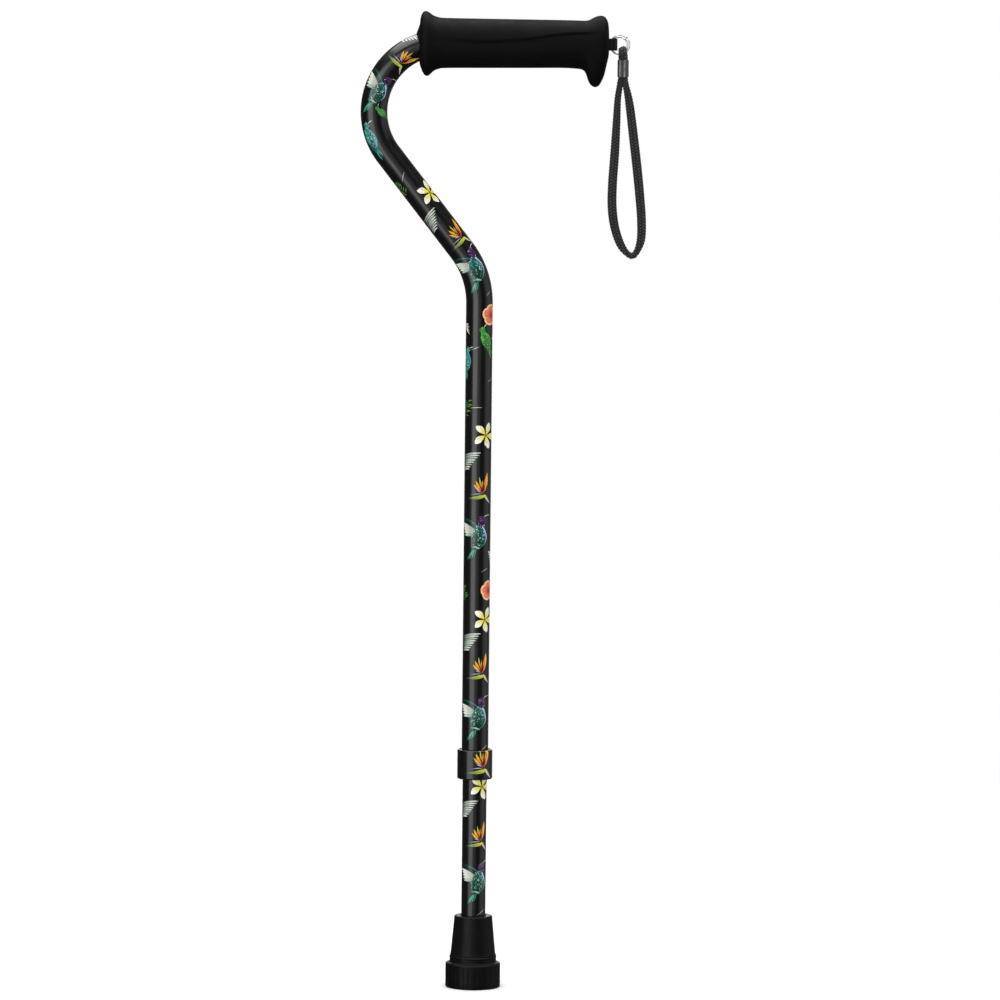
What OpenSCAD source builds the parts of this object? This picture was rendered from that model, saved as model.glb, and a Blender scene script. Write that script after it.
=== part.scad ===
// Offset-handle walking cane with a telescoping shaft, a screw locking collar and a wrist strap.
// Millimetres, +Z up. The origin is the centre of the rubber tip's bottom face, on the shaft axis.
// +X runs from the shaft towards the free end of the handle. The adjustment holes face +Y.

/* [Shaft] */
// outside diameter of the bent upper tube
shaft_d = 22.2; // [19:0.1:25.4]
// wall of the upper tube
shaft_wall = 0.9; // [0.8:0.1:1.5]
// lean of the sloping stretch from vertical, in degrees
lean = 38; // [25:1:50]
// centreline radius of the bend under the handle
top_bend_r = 57; // [45:1:70]
// centreline radius of the bend above the straight shaft
low_bend_r = 71; // [50:1:90]
// straight length between the two bends
slope_len = 100; // [60:1:130]
// height of the handle's axis at the setting that is modelled
handle_z = 786; // [720:1:900]
// where the handle end of the tube stops, along X
handle_end_x = 96; // [70:1:110]
// lower end of the upper tube
foot_z = 188; // [150:1:230]

/* [Height adjustment] */
// number of settings
settings = 7; // [3:1:10]
// distance between settings
pitch = 25.4; // [19:0.1:30]
// radius of the adjustment holes
hole_r = 3.5; // [3:0.1:4]
// height of the snap button at the setting that is modelled
button_z = 332; // [300:1:360]
// settings above the modelled one, which make the cane shorter
shorter_steps = 2; // [0:1:6]

/* [Lower tube] */
// outside diameter of the lower tube
stem_d = 20.2; // [16:0.1:22]
// wall of the lower tube
stem_wall = 1; // [0.8:0.1:1.5]
// lower end of the lower tube, on the washer in the tip
stem_low_z = 10.2; // [8:0.1:14]
// upper end of the lower tube
stem_top_z = 376; // [350:1:400]

/* [Grip] */
// free-end face of the grip, along X
grip_far_x = 104.8; // [95:0.1:115]
// bend-end face of the grip, along X
grip_near_x = -51.5; // [-60:0.1:-40]
// radius of the grip at its bend end
grip_r_near = 20.7; // [17:0.1:24]
// radius of the grip at its free end
grip_r_far = 19.7; // [16:0.1:23]
// half width of the grip's flared ends from side to side
grip_half_w = 22; // [20:0.1:25]
// reach of the finger rest below the handle's axis
rest_drop = 35.1; // [28:0.1:40]

/* [Strap] */
// distance from the shaft axis to the lug's hole
lug_x = 107.3; // [100:0.1:115]
// radius of the lug's hole
lug_hole_r = 2.8; // [2:0.1:3.5]
// mean radius of the ring's larger coil
ring_r = 7.85; // [6:0.05:12]
// radius of the ring's wire
wire_r = 0.65; // [0.5:0.05:1]
// centre of the crimp, along X
crimp_x = 116.6; // [110:0.1:125]
// bottom of the crimp
crimp_z = 759.3; // [740:0.1:770]
// length of the crimp
crimp_len = 14.1; // [10:0.1:20]

/* [Collar] */
// outside diameter of the locking collar
collar_d = 29.3; // [27:0.1:34]
// bottom of the locking collar
collar_z = 175; // [160:0.5:190]
// length of the locking collar
collar_len = 24.5; // [18:0.5:30]

/* [Tip] */
// height of the rubber tip
tip_h = 60; // [45:1:70]
// diameter of the tip's foot
tip_foot_d = 45.8; // [35:0.1:55]
// diameter at the top of the tip
tip_top_d = 31.7; // [28:0.1:36]

/* [Output] */
// sub-part to build

/* [Hidden] */

$fn = 96;
shaft_r = shaft_d / 2;
shaft_in_r = shaft_r - shaft_wall;
stem_r = stem_d / 2;
stem_in_r = stem_r - stem_wall;

// the sloping stretch starts at the top of the lower bend
low_bend_z = handle_z - top_bend_r * (1 + sin(lean)) - slope_len * cos(lean) - low_bend_r * sin(lean);
slope_x = -low_bend_r * (1 - cos(lean));
slope_z = low_bend_z + low_bend_r * sin(lean);
bend_x = slope_x - slope_len * sin(lean) + top_bend_r * cos(lean);
bend_z = handle_z - top_bend_r;

// collar, sleeve and bush
collar_r = collar_d / 2;
collar_bore_r = 13.35;
collar_lip = 2;
collar_lip_r = stem_r + 0.35;
sleeve_low_z = 179.5;
sleeve_top_z = collar_z + collar_len - 0.5;
thread_r = 13.1;
thread_root_r = 12.65;
thread_pitch = 2;
seat_z = 186.5;
seat_r = stem_r + 0.4;
mouth_r = 12.2;
bush_gap = 0.1;
bush_bore_r = stem_r + 0.05;

// snap button
button_r = 3.2;
button_top_y = 13.6;
flange_y = 6.8;
flange_t = 1;
flange_r = 4.2;
leaf_w = 7;
leaf_t = 0.6;
leaf_back_y = -8.2;
leaf_low_z = button_z - 32;

// strap ring: two coils that share the lug's hole
coil_y = 0.7;
coil_a_x = lug_x - 1.4 + ring_r;
coil_b_r = ring_r - 0.8;
coil_b_x = lug_x - 1.4 + coil_b_r;
coil_b_z = handle_z - 0.8;
leg_x = 1.95;
leg_bore_r = 2.15;

// wrist cord route: x, y, z, width, thickness, turn of the width away from X in degrees
cord_route = [
    [crimp_x - leg_x, 0, 767, 4, 4, 0],
    [crimp_x - leg_x, 0, 773, 4, 4, 0],
    [114.9, -2.6, 776, 4.6, 3.6, 8],
    [115.2, -3.7, 779, 5, 3.4, 12],
    [115.1, -2.6, 781.8, 5, 3.4, 16],
    [115.1, 0, 782.9, 5, 3.4, 18],
    [115.6, 2.6, 781.7, 5, 3.4, 16],
    [116.8, 3.7, 779, 5, 3.4, 12],
    [118, 2.6, 776, 4.6, 3.6, 4],
    [crimp_x + leg_x, 0, 773, 4, 4, 0],
    [crimp_x + leg_x, 0, 767, 4, 4, 0],
    [crimp_x + leg_x, 0, 760, 4, 4, 0],
    [119.2, 0, 753, 4.2, 4.2, 0],
    [121.6, 0.2, 744, 5, 4, 0],
    [123.6, 0.4, 732, 6, 3.8, 10],
    [126.9, 0.8, 707, 6.6, 3.6, 18],
    [129.8, 1, 684, 6.6, 3.6, 24],
    [132.2, 1, 662, 6.6, 3.6, 30],
    [134, 0.8, 640, 6.6, 3.6, 40],
    [133, 0.4, 623, 6.6, 3.6, 60],
    [126.5, 0, 612, 6.6, 3.6, 84],
    [118, -0.4, 618.5, 6.6, 3.6, 112],
    [112, -0.8, 634, 6.6, 3.6, 140],
    [109.4, -1, 652, 6.6, 3.6, 154],
    [109.6, -1, 672, 6.6, 3.6, 162],
    [111.2, -0.8, 698, 6.6, 3.6, 168],
    [112.2, -0.5, 722, 5.4, 3.8, 174],
    [112.7, -0.2, 741, 4.4, 4, 178],
    [114, 0, 752, 4.2, 4.2, 180],
    [crimp_x - leg_x, 0, 760, 4, 4, 180],
    [crimp_x - leg_x, 0, 766, 4, 4, 180]
];
cord_sides = 12;
cord_rings = 72;

function mix(a, b, c, d, t) = 0.5 * (2 * b + (c - a) * t + (2 * a - 5 * b + 4 * c - d) * t * t
    + (3 * b - a - 3 * c + d) * t * t * t);
function held(i) = max(0, min(len(cord_route) - 1, i));
function station(u) = let (i = min(floor(u), len(cord_route) - 2), t = u - i)
    mix(cord_route[held(i - 1)], cord_route[i], cord_route[i + 1], cord_route[held(i + 2)], t);
function place(s) = [s[0], s[1], s[2]];
function unit(v) = v / norm(v);
function along(u) = unit(place(station(min(u + 0.02, len(cord_route) - 1))) - place(station(max(u - 0.02, 0))));
// the width runs along X with some turn towards Y, and follows the ring's slope where the cord crosses it
function slope_up(s) = 0.34 * max(0, min(1, (s[2] - 773) / 5));
function square_to(v, k) = unit(v - k * (v * k));
function across(s, k) = square_to([cos(s[5]), sin(s[5]), slope_up(s)], k);
function oval(s, k) = let (w = across(s, k), h = cross(k, w))
    [for (j = [0:cord_sides - 1]) let (a = 360 * j / cord_sides)
        place(s) + w * (cos(a) * s[3] / 2) + h * (sin(a) * s[4] / 2)];
function cord_steps() = [for (i = [0:cord_rings - 1]) i * (len(cord_route) - 1) / (cord_rings - 1)];

module round_x(r, x_low, x_high) {
    translate([x_low, 0, handle_z])
        rotate([0, 90, 0])
            cylinder(r = r, h = x_high - x_low);
}

module tube_leg(r, low_z) {
    translate([0, 0, low_z])
        cylinder(r = r, h = low_bend_z - low_z);
    translate([-low_bend_r, 0, low_bend_z])
        rotate([90, 0, 0])
            rotate_extrude(angle = lean)
                translate([low_bend_r, 0])
                    circle(r = r);
    translate([slope_x, 0, slope_z])
        rotate([0, -lean, 0]) {
            cylinder(r = r, h = slope_len);
            // a hair-high band over each joint, so that the bends and the slope make one solid
            for (z = [0, slope_len])
                translate([0, 0, z - 0.3])
                    cylinder(r = r + 0.05, h = 0.6);
        }
}

module tube_crook(r, far_x) {
    translate([bend_x, 0, bend_z])
        rotate([90, 0, 0])
            rotate([0, 0, 90])
                rotate_extrude(angle = 90 + lean)
                    translate([top_bend_r, 0])
                        circle(r = r);
    round_x(r, bend_x, far_x);
}

module tube_run(r, low_z, far_x) {
    tube_leg(r, low_z);
    tube_crook(r, far_x);
}

module hole_y(z, r) {
    translate([0, 0, z])
        rotate([-90, 0, 0])
            cylinder(r = r, h = 20);
}

module upper_tube() {
    color([0.05, 0.05, 0.06])
        difference() {
            tube_run(shaft_r, foot_z, handle_end_x);
            tube_run(shaft_in_r, foot_z - 1, handle_end_x + 1);
            for (i = [0:settings - 1])
                hole_y(button_z + (shorter_steps - i) * pitch, hole_r);
        }
}

// points of an arc as [radius from the handle axis, x]
function bow(x, r, rad, a0, a1, n) = [for (i = [0:n]) let (a = a0 + (a1 - a0) * i / n)
    [r + rad * cos(a), x + rad * sin(a)]];

module turned_x(points) {
    translate([0, 0, handle_z])
        rotate([0, 90, 0])
            rotate_extrude()
                polygon(points);
}

// a long oval bar along X, to flatten the sides of the grip
module oval_bar(half_w, bulge, x_low, x_high) {
    intersection() {
        translate([0, bulge - half_w, 0])
            round_x(bulge, x_low, x_high);
        translate([0, half_w - bulge, 0])
            round_x(bulge, x_low, x_high);
    }
}

module grip_bar() {
    intersection() {
        turned_x(concat(
            [[0, grip_near_x], [12, grip_near_x + 0.2]],
            bow(-46.8, 23.3, 3.4, -80, 45, 8),
            bow(-31.7, grip_r_near + 17, 17, 225, 180, 7),
            bow(85.5, grip_r_far + 12, 12, 180, 141.3, 6),
            bow(97.9, 16, 7.8, -38.7, 0, 5),
            bow(97.9, 18.6, 5.2, 10, 80, 6),
            [[5, grip_far_x - 0.2], [0, grip_far_x]]
        ));
        oval_bar(grip_half_w, 32, grip_near_x - 1, grip_far_x + 1);
    }
}

module finger_rest() {
    intersection() {
        turned_x(concat(
            [[0, 85], [20.8, 85], [24, 86.3]],
            bow(94.4, rest_drop - 7.2, 7.2, -90, 70, 12),
            [[10, 103], [0, 103.4]]
        ));
        union() {
            translate([0, 0, 13.1 - rest_drop])
                round_x(13.1, 84, grip_far_x);
            translate([84, -13.1, handle_z + 13.1 - rest_drop])
                cube([grip_far_x - 84, 26.2, rest_drop - 13.1]);
        }
    }
}

module lug_block() {
    translate([handle_end_x + 1, -4.4, handle_z - 5])
        cube([lug_x - handle_end_x - 1, 8.8, 10]);
    translate([lug_x, 0, handle_z - 5])
        cylinder(r = 4.4, h = 10);
}

module handle_grip() {
    color([0.12, 0.12, 0.13])
        difference() {
            union() {
                grip_bar();
                finger_rest();
            }
            tube_crook(shaft_r, handle_end_x + 2);
            lug_block();
        }
}

module handle_end_plug() {
    color([0.2, 0.2, 0.22])
        difference() {
            union() {
                for (i = [0:3])
                    round_x(shaft_in_r, 77 + i * 5, 79.5 + i * 5);
                round_x(shaft_in_r - 0.6, 77, handle_end_x);
                round_x(shaft_r, handle_end_x, handle_end_x + 2);
                lug_block();
            }
            round_x(6.5, 76, handle_end_x - 2);
            translate([lug_x, 0, handle_z - 6])
                cylinder(r = lug_hole_r, h = 12);
        }
}

module thread_sleeve() {
    color([0.35, 0.36, 0.4])
        rotate_extrude()
                polygon(concat(
                    [
                        [shaft_r, sleeve_top_z],
                        [shaft_r, foot_z],
                        [seat_r, foot_z],
                        [seat_r, seat_z],
                        [mouth_r, sleeve_low_z],
                        [thread_root_r, sleeve_low_z]
                    ],
                    [for (i = [0:6], p = [[0, 0.3], [1, 0.8], [1, 1.3], [0, 1.8]])
                        [thread_root_r + p[0] * (thread_r - thread_root_r),
                            sleeve_low_z + 0.6 + i * thread_pitch + p[1]]],
                    [[thread_root_r, sleeve_top_z - 4], [thread_r, sleeve_top_z - 4], [thread_r, sleeve_top_z]]
                ));
}

module silencer_bush() {
    cone_x = (mouth_r - seat_r) / (seat_z - sleeve_low_z);
    top_z = seat_z - 1;
    low_z = collar_z + collar_lip;
    color([0.75, 0.75, 0.7])
        difference() {
            rotate_extrude()
                polygon([
                    [bush_bore_r, low_z],
                    [mouth_r - bush_gap, low_z],
                    [mouth_r - bush_gap, sleeve_low_z],
                    [seat_r + cone_x * (seat_z - top_z) - bush_gap, top_z],
                    [bush_bore_r, top_z]
                ]);
            translate([0, -0.7, low_z - 1])
                cube([20, 1.4, 12]);
        }
}

module locking_collar() {
    edge = 1.2;
    top_z = collar_z + collar_len;
    color([0.1, 0.1, 0.16])
        rotate_extrude()
            polygon(concat(
                [[collar_lip_r, collar_z]],
                [for (a = [-90:15:0]) [collar_r - edge + edge * cos(a), collar_z + edge + edge * sin(a)]],
                [for (a = [0:15:90]) [collar_r - edge + edge * cos(a), top_z - edge + edge * sin(a)]],
                [
                    [collar_bore_r, top_z],
                    [collar_bore_r, collar_z + collar_lip],
                    [collar_lip_r, collar_z + collar_lip]
                ]
            ));
}

module lower_tube() {
    color([0.07, 0.07, 0.08])
        difference() {
            translate([0, 0, stem_low_z])
                cylinder(r = stem_r, h = stem_top_z - stem_low_z);
            translate([0, 0, stem_low_z - 1])
                cylinder(r = stem_in_r, h = stem_top_z - stem_low_z + 2);
            hole_y(button_z, hole_r);
        }
}

module glide_sleeve() {
    slide_r = shaft_in_r - 0.06;
    color([0.85, 0.85, 0.8])
        difference() {
            rotate_extrude()
                polygon([
                    [7.2, stem_top_z - 14],
                    [stem_in_r - 0.4, stem_top_z - 14],
                    [stem_in_r, stem_top_z - 12],
                    [stem_in_r, stem_top_z],
                    [slide_r, stem_top_z],
                    [slide_r, stem_top_z + 10],
                    [slide_r - 1, stem_top_z + 12],
                    [7.2, stem_top_z + 12]
                ]);
            for (a = [0, 90])
                rotate([0, 0, a])
                    translate([-20, -0.8, stem_top_z + 2])
                        cube([40, 1.6, 20]);
        }
}

module snap_button() {
    color([0.75, 0.75, 0.78])
        translate([0, 0, button_z])
            rotate([-90, 0, 0]) {
                translate([0, 0, flange_y])
                    cylinder(r = flange_r, h = flange_t);
                intersection() {
                    translate([0, 0, flange_y])
                        cylinder(r = button_r, h = button_top_y - flange_y);
                    translate([0, 0, button_top_y - 4.4])
                        sphere(r = 4.4);
                }
                translate([0, 0, flange_y])
                    cylinder(r = button_r, h = button_top_y - 4.4 - flange_y + 1);
            }
}

module snap_spring() {
    bow_r = (flange_y - leaf_back_y) / 2;
    mid_y = (flange_y + leaf_back_y) / 2;
    top_z = button_z + 8;
    color([0.6, 0.62, 0.66]) {
        translate([-leaf_w / 2, flange_y - leaf_t, leaf_low_z])
            cube([leaf_w, leaf_t, top_z - leaf_low_z]);
        translate([-leaf_w / 2, leaf_back_y, leaf_low_z])
            cube([leaf_w, leaf_t, top_z - leaf_low_z - 12]);
        translate([-leaf_w / 2, mid_y, leaf_low_z])
            rotate([0, 90, 0])
                rotate([0, 0, -90])
                    rotate_extrude_half(bow_r);
    }
}

// half a round strip, from one leaf of the spring to the other
module rotate_extrude_half(r) {
    difference() {
        cylinder(r = r, h = leaf_w);
        translate([0, 0, -1])
            cylinder(r = r - leaf_t, h = leaf_w + 2);
        translate([-r - 1, 0, -1])
            cube([2 * r + 2, r + 1, leaf_w + 2]);
    }
}

module rubber_tip() {
    foot_r = tip_foot_d / 2;
    top_r = tip_top_d / 2;
    color([0.1, 0.1, 0.1])
        rotate_extrude()
            polygon([
                [0, 9],
                [0, 0],
                [5, 0],
                [5.6, 1.5],
                [8, 1.5],
                [8.6, 0],
                [11.4, 0],
                [12, 1.5],
                [14.4, 1.5],
                [15, 0],
                [17.8, 0],
                [18.4, 1.5],
                [20, 1.5],
                [20.6, 0],
                [foot_r - 1.2, 0],
                [foot_r - 0.4, 0.4],
                [foot_r, 1.2],
                [foot_r, 19.8],
                [foot_r - 0.3, 20.6],
                [foot_r - 1, 21.1],
                [19.6, 21.9],
                [19.1, 22.4],
                [19.1, 24],
                [19.6, 24.6],
                [19.7, 25.4],
                [19.4, 26.1],
                [19.1, 26.4],
                [19.3, 26.9],
                [19.2, 27.6],
                [18.9, 28],
                [top_r, tip_h - 1.4],
                [top_r - 0.5, tip_h - 0.4],
                [top_r - 1.4, tip_h],
                [stem_r, tip_h],
                [stem_r, 9]
            ]);
}

module tip_washer() {
    color([0.7, 0.7, 0.72])
        translate([0, 0, 9])
            cylinder(r = stem_r, h = stem_low_z - 9);
}

module ring_coil(x, y, z, r, start) {
    translate([x, y, z])
        rotate([90, 0, 0])
            rotate([0, 0, start])
                rotate_extrude(angle = 352)
                    translate([r, 0])
                        circle(r = wire_r, $fn = 24);
}

module strap_ring() {
    join_x = coil_a_x - ring_r * cos(45);
    color([0.85, 0.85, 0.87]) {
        ring_coil(coil_a_x, -coil_y, handle_z, ring_r, 40);
        ring_coil(coil_b_x, coil_y, coil_b_z, coil_b_r, 66);
        translate([join_x - 0.1, coil_y, handle_z - ring_r * sin(45) - 0.1])
            rotate([90, 0, 0])
                cylinder(r = 0.55, h = 2 * coil_y, $fn = 24);
    }
}

module strap_crimp() {
    lobe_r = 2.7;
    color([0.6, 0.6, 0.62])
        translate([crimp_x, 0, crimp_z])
            linear_extrude(crimp_len)
                difference() {
                    union() {
                        for (s = [-1, 1])
                            translate([s * leg_x, 0])
                                circle(r = lobe_r, $fn = 48);
                        translate([-leg_x, -2])
                            square([2 * leg_x, 4]);
                    }
                    for (s = [-1, 1])
                        translate([s * leg_x, 0])
                            circle(r = leg_bore_r, $fn = 48);
                }
}

module wrist_strap() {
    steps = cord_steps();
    n = cord_sides;
    last = len(steps) - 1;
    points = [for (u = steps) each oval(station(u), along(u))];
    walls = [for (i = [0:last - 1], j = [0:n - 1])
        [i * n + j, i * n + (j + 1) % n, (i + 1) * n + (j + 1) % n, (i + 1) * n + j]];
    near_end = [for (j = [0:n - 1]) n - 1 - j];
    far_end = [for (j = [0:n - 1]) last * n + j];
    color([0.2, 0.22, 0.22])
        polyhedron(points, concat(walls, [near_end, far_end]));
}

upper_tube();
handle_grip();
handle_end_plug();
thread_sleeve();
silencer_bush();
locking_collar();
lower_tube();
glide_sleeve();
snap_spring();
rubber_tip();
tip_washer();
snap_button();
strap_ring();
strap_crimp();
wrist_strap();
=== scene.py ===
"""Looks of the offset walking cane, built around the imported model.

Metres, in the model's own frame: +Z up, the handle runs along +X, the adjustment holes face +Y.
The print is drawn on the unrolled tubes, in millimetres: across is the way round, along is up the tube.
"""

import math
import random

import bmesh
import bpy
import numpy as np
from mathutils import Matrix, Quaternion, Vector
from mathutils.geometry import delaunay_2d_cdt


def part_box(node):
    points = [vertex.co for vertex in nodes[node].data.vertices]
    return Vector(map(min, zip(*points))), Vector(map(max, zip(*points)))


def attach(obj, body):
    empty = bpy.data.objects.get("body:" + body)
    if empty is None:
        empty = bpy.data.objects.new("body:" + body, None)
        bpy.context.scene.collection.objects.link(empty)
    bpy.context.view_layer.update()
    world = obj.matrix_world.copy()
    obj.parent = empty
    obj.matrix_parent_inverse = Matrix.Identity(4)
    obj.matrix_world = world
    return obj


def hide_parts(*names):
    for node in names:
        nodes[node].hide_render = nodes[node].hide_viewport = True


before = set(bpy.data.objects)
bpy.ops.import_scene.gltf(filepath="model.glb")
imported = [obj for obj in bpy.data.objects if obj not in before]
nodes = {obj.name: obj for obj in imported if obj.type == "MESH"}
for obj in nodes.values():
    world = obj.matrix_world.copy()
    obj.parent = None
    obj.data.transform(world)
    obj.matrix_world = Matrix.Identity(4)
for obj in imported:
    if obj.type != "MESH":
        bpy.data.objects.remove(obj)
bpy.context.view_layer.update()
MM = 0.001

# ---------------- driving sizes of the frame, metres
TUBE_R = 0.0111
TUBE_IN_R = 0.0102
STEM_R = 0.0101
STEM_IN_R = 0.0091
LEAN = math.radians(38)
TOP_BEND_R = 0.057
LOW_BEND_R = 0.071
SLOPE_LEN = 0.100
HOLE_R = 0.0035
HOLE_PITCH = 0.0254
BUTTON_Z = 0.332
HOLES_BELOW_BUTTON = 4
HOLES_ABOVE_BUTTON = 2
COLLAR_LIP_R = STEM_R + 0.00035
COLLAR_BORE_R = 0.01335
COLLAR_LIP = 0.002

tube_low, tube_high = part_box("upper_tube")
stem_low, stem_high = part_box("lower_tube")
collar_low, collar_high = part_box("locking_collar")
grip_low, grip_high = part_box("handle_grip")
_, tip_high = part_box("rubber_tip")
HANDLE_Z = tube_high.z - TUBE_R
TUBE_END_X = tube_high.x
TUBE_FOOT_Z = tube_low.z


# ---------------- camera
def make_camera():
    """The view of the picture: level with the handle, a long way off, and rolled a little."""
    picture_height = 0.8306
    distance = 4.75
    eye_z = 0.79
    roll = math.radians(0.6)
    aim = Vector((0.0187, 0.0, 0.408))
    data = bpy.data.cameras.new("camera")
    data.sensor_width = 36
    data.lens = data.sensor_width * distance / picture_height
    data.clip_end = 100
    camera = bpy.data.objects.new("camera", data)
    drop = eye_z - aim.z
    camera.location = (aim.x, -math.sqrt(distance**2 - drop**2), eye_z)
    look = aim - camera.location
    turn = look.to_track_quat("-Z", "Y") @ Quaternion((0, 0, 1), roll)
    camera.rotation_euler = turn.to_euler()
    bpy.context.scene.collection.objects.link(camera)
    bpy.context.scene.camera = camera


make_camera()


# ---------------- mesh helpers
def link_mesh(name, points, faces):
    mesh = bpy.data.meshes.new(name)
    mesh.from_pydata([tuple(p) for p in points], [], [tuple(f) for f in faces])
    mesh.update()
    mesh.shade_smooth()
    piece = bpy.data.objects.new(name, mesh)
    bpy.context.scene.collection.objects.link(piece)
    return piece


def weld(mesh, face_out):
    """Joins points that meet, and can turn every face outwards."""
    bm = bmesh.new()
    bm.from_mesh(mesh)
    bmesh.ops.remove_doubles(bm, verts=bm.verts, dist=1e-6)
    if face_out:
        bmesh.ops.recalc_face_normals(bm, faces=bm.faces)
    bm.to_mesh(mesh)
    bm.free()


def turns(count):
    """Angles spaced evenly round a circle."""
    return 2 * np.pi * np.arange(count) / count


def ring_faces(first, second, count):
    """Quads between two rings of count points, whose first points have these numbers."""
    return [
        (first + k, first + (k + 1) % count, second + (k + 1) % count, second + k)
        for k in range(count)
    ]


def loft(name, rings):
    """A closed surface through rings of points, with a fan over each end."""
    count = len(rings[0])
    points = [p for ring in rings for p in ring]
    faces = []
    for i in range(len(rings) - 1):
        faces += ring_faces(i * count, (i + 1) * count, count)
    for ring, first in ((rings[0], 0), (rings[-1], (len(rings) - 1) * count)):
        points.append(np.mean(np.array(ring), axis=0))
        hub = len(points) - 1
        faces += [(first + k, first + (k + 1) % count, hub) for k in range(count)]
    piece = link_mesh(name, points, faces)
    weld(piece.data, True)
    return piece


def lathe(name, profile, count, wobble):
    """A closed solid of revolution about Z from (radius, height) points.

    wobble(angle, radius, height) gives the radius that is made.
    """
    points = []
    for r, z in profile:
        for a in turns(count):
            radius = wobble(a, r, z)
            points.append((radius * math.cos(a), radius * math.sin(a), z))
    faces = []
    for i in range(len(profile)):
        faces += ring_faces(i * count, ((i + 1) % len(profile)) * count, count)
    piece = link_mesh(name, points, faces)
    weld(piece.data, True)
    return piece


def sharpen(piece, degrees):
    """Breaks the smooth shading at edges sharper than this."""
    bm = bmesh.new()
    bm.from_mesh(piece.data)
    for edge in bm.edges:
        if len(edge.link_faces) == 2 and edge.calc_face_angle(0) > math.radians(degrees):
            edge.smooth = False
    bm.to_mesh(piece.data)
    bm.free()


def catmull(points, u):
    """Points of a Catmull-Rom curve through rows of numbers, at the parameters u."""
    rows = np.array(points, float)
    last = len(rows) - 1
    u = np.clip(np.asarray(u, float), 0, last)
    i = np.minimum(np.floor(u).astype(int), last - 1)
    t = (u - i)[:, None]
    a, b, c, d = (rows[np.clip(i + k, 0, last)] for k in (-1, 0, 1, 2))
    return 0.5 * (
        2 * b + (c - a) * t + (2 * a - 5 * b + 4 * c - d) * t**2 + (3 * b - a - 3 * c + d) * t**3
    )


# ---------------- wrist cord
# x, y, z, width and thickness in millimetres, and the turn of the width away from X in degrees
CORD_ROUTE = [
    (114.65, 0, 767, 4, 4, 0),
    (114.65, 0, 773, 4, 4, 0),
    (115, -2.6, 776, 5, 3.6, 8),
    (115.7, -3.7, 779, 6.2, 3.4, 12),
    (115.7, -2.6, 781.8, 6.4, 3.4, 16),
    (115.7, 0, 782.9, 6.4, 3.4, 18),
    (116, 2.6, 781.7, 6.4, 3.4, 16),
    (117, 3.7, 779, 6.2, 3.4, 12),
    (118, 2.6, 776, 5, 3.6, 4),
    (118.55, 0, 773, 4, 4, 0),
    (118.55, 0, 767, 4, 4, 0),
    (118.55, 0, 760, 4, 4, 0),
    (119, 0, 753, 4.6, 4.4, 0),
    (121, 0.2, 744, 5.8, 4.2, 0),
    (123, 0.4, 732, 6.8, 4, 6),
    (126.3, 0.8, 707, 7.4, 3.8, 12),
    (129.2, 1, 684, 7.6, 3.8, 16),
    (131.6, 1, 662, 7.6, 3.8, 20),
    (133.4, 0.8, 640, 7.6, 3.8, 24),
    (132.6, 0.4, 623, 7.4, 4, 36),
    (126.4, 0, 612, 6, 4.8, 88),
    (117.8, -0.4, 618.5, 7.2, 4, 142),
    (111.6, -0.8, 634, 7.4, 3.8, 156),
    (108.9, -1, 652, 7.4, 3.8, 162),
    (109, -1, 672, 7.2, 3.8, 166),
    (110.6, -0.8, 698, 7, 3.8, 170),
    (111.7, -0.5, 722, 6, 4, 174),
    (112.5, -0.2, 741, 5, 4.2, 178),
    (114, 0, 752, 4.6, 4.4, 180),
    (114.65, 0, 760, 4, 4, 180),
    (114.65, 0, 766, 4, 4, 180),
]
CRIMP_LOW_Z = 0.756
RING_TURN_Z = 0.773


def braid_height(around, along, carriers, pitch):
    """Height of a two-over-two braid, from 0 in its gaps to 1 on its strands.

    around is a share of the way round, and along a distance.
    """
    right = carriers * (around + along / pitch)
    left = carriers * (around - along / pitch)
    phase = np.mod(np.floor(right) + np.floor(left), 4)
    right_on_top = phase < 2
    across = np.where(right_on_top, np.mod(right, 1), np.mod(left, 1))
    run = np.where(right_on_top, phase + np.mod(left, 1), phase - 2 + np.mod(right, 1)) / 2
    return np.sin(np.pi * across) ** 0.6 * (0.5 + 0.5 * np.sin(np.pi * run))


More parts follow.
